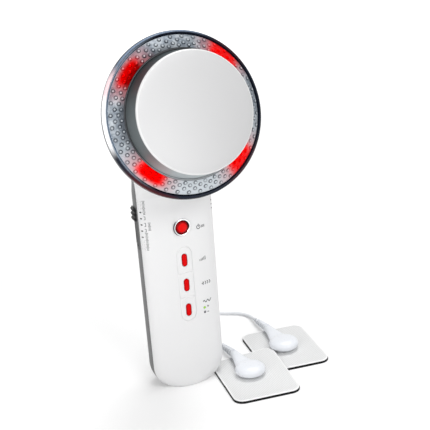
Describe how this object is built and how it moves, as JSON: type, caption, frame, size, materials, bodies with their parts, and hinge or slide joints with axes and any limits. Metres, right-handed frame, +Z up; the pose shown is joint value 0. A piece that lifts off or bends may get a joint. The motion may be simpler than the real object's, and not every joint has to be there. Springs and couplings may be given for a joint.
{
  "type": "cavitation slimming machine",
  "caption": "Handheld body care device with a tilted round treatment head behind a clear ring, push and slide controls, and two electrode pads on a coiled lead.",
  "frame": {"origin": "centre of the flat foot on which the handle stands", "axes": "+Z up along the handle, -Y out of the white face towards the viewer, +X towards the pads"},
  "size_m": [0.119, 0.1922, 0.1886],
  "materials": {
    "white_shell": "satin",
    "grey_shell": "satin",
    "chrome_trim": "polished",
    "red_button": "gloss",
    "switch_rubber": "matt",
    "green_light": "clear",
    "dark_light": "clear",
    "black_plastic": "matt",
    "board": "satin",
    "white_board": "satin",
    "ferrite": "matt",
    "copper_wire": "enamelled",
    "sink_metal": "satin",
    "screw_steel": "satin",
    "smoky_lens": "clear gloss",
    "disc_metal": "satin",
    "carrier_plastic": "satin",
    "red_led": "gloss",
    "reflector_foil": "polished",
    "ceramic": "fired ceramic",
    "lead_jacket": "satin",
    "stud_metal": "polished",
    "pad_gel": "tacky",
    "pad_cloth": "woven"
  },
  "bodies": {
    "machine": {"front_shell": "white_shell", "back_shell": "grey_shell", "power_bezel": "chrome_trim", "switch_mat": "switch_rubber", "disc_seal": "switch_rubber", "charge_light": "green_light", "ready_light": "dark_light", "mode_switch": "black_plastic", "level_switch": "black_plastic", "power_socket": "black_plastic", "lead_socket": "black_plastic", "driver_transistor": "black_plastic", "control_chip": "black_plastic", "main_board": "board", "led_board": "white_board", "transformer_core": "ferrite", "transformer_winding": "copper_wire", "heat_sink": "sink_metal", "storage_capacitor": "sink_metal", "output_capacitor": "sink_metal", "shell_screw_left": "screw_steel", "shell_screw_right": "screw_steel", "board_screw_high": "screw_steel", "board_screw_low": "screw_steel", "ring_screw_right": "screw_steel", "ring_screw_left": "screw_steel", "ring_screw_low": "screw_steel", "lens_ring": "smoky_lens", "treatment_disc": "disc_metal", "disc_carrier": "carrier_plastic", "red_light_1": "red_led", "red_light_2": "red_led", "red_light_3": "red_led", "red_light_4": "red_led", "reflector_ring": "reflector_foil", "piezo_element": "ceramic", "plug_cord": "lead_jacket", "tail_cord": "lead_jacket", "near_cord": "lead_jacket", "far_cord": "lead_jacket", "lead_coil": "lead_jacket", "lead_plug": "lead_jacket", "lead_splitter": "lead_jacket", "near_connector": "lead_jacket", "far_connector": "lead_jacket", "near_stud": "stud_metal", "far_stud": "stud_metal", "near_pad_gel": "pad_gel", "far_pad_gel": "pad_gel", "near_pad_cloth": "pad_cloth", "far_pad_cloth": "pad_cloth"},
    "power_button": {"power_button": "red_button"},
    "key_top": {"key_cap_top": "white_shell", "key_insert_top": "red_button"},
    "key_middle": {"key_cap_middle": "white_shell", "key_insert_middle": "red_button"},
    "key_bottom": {"key_cap_bottom": "white_shell", "key_insert_bottom": "red_button"},
    "mode_knob": {"mode_knob": "black_plastic"},
    "level_knob": {"level_knob": "black_plastic"}
  },
  "joints": [
    {"name": "power_push", "type": "slide", "parent": "machine", "child": "power_button", "axis": [0, 1, 0], "range_m": [0, 0.001], "stiffness_N_per_m": 1500},
    {"name": "key_top_push", "type": "slide", "parent": "machine", "child": "key_top", "axis": [0, 1, 0], "range_m": [0, 0.0008], "stiffness_N_per_m": 1500},
    {"name": "key_middle_push", "type": "slide", "parent": "machine", "child": "key_middle", "axis": [0, 1, 0], "range_m": [0, 0.0008], "stiffness_N_per_m": 1500},
    {"name": "key_bottom_push", "type": "slide", "parent": "machine", "child": "key_bottom", "axis": [0, 1, 0], "range_m": [0, 0.0008], "stiffness_N_per_m": 1500},
    {"name": "mode_slide", "type": "slide", "parent": "machine", "child": "mode_knob", "axis": [0, 0, -1], "range_m": [0, 0.0132]},
    {"name": "level_slide", "type": "slide", "parent": "machine", "child": "level_knob", "axis": [0, 0, -1], "range_m": [0, 0.0043]}
  ]
}
